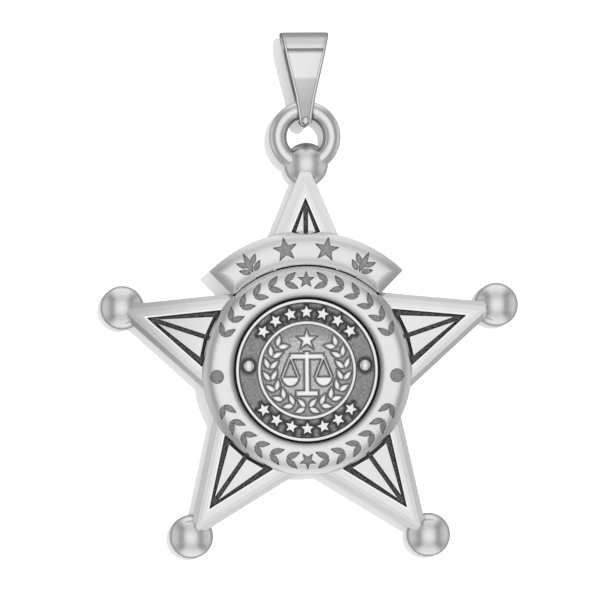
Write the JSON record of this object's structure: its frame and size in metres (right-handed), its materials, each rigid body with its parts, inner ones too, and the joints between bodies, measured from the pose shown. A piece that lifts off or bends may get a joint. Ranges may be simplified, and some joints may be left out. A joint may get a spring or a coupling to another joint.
{
  "type": "star badge pendant",
  "caption": "Flat star badge with ball tips, a curved banner and a round medallion, hung from a wire ring and a tapered bail.",
  "frame": {"origin": "centre of the star on its flat back", "axes": "+X to the right of the face, +Y from the centre up towards the ring and the bail, +Z out of the face"},
  "size_m": [0.0249, 0.0313, 0.0027],
  "materials": {
    "star_silver": "polished silver with dark patina in the grooves",
    "banner_silver": "polished silver, matte in the sunken ornaments",
    "medallion_silver": "polished silver, matte in the sunken leaves",
    "seal_silver": "cast silver with dark patina round the relief",
    "ring_silver": "polished silver wire",
    "bail_silver": "polished silver strip"
  },
  "bodies": {
    "badge": {"star": "star_silver", "banner": "banner_silver", "medallion": "medallion_silver", "seal": "seal_silver", "hanging_ring": "ring_silver"},
    "bail": {"bail": "bail_silver"}
  },
  "joints": [
    {"name": "bail_swing", "type": "hinge", "parent": "badge", "child": "bail", "pos_m": [0, 0.01551, 0.00106], "axis": [1, 0, 0], "range_deg": [-120, 135]}
  ]
}
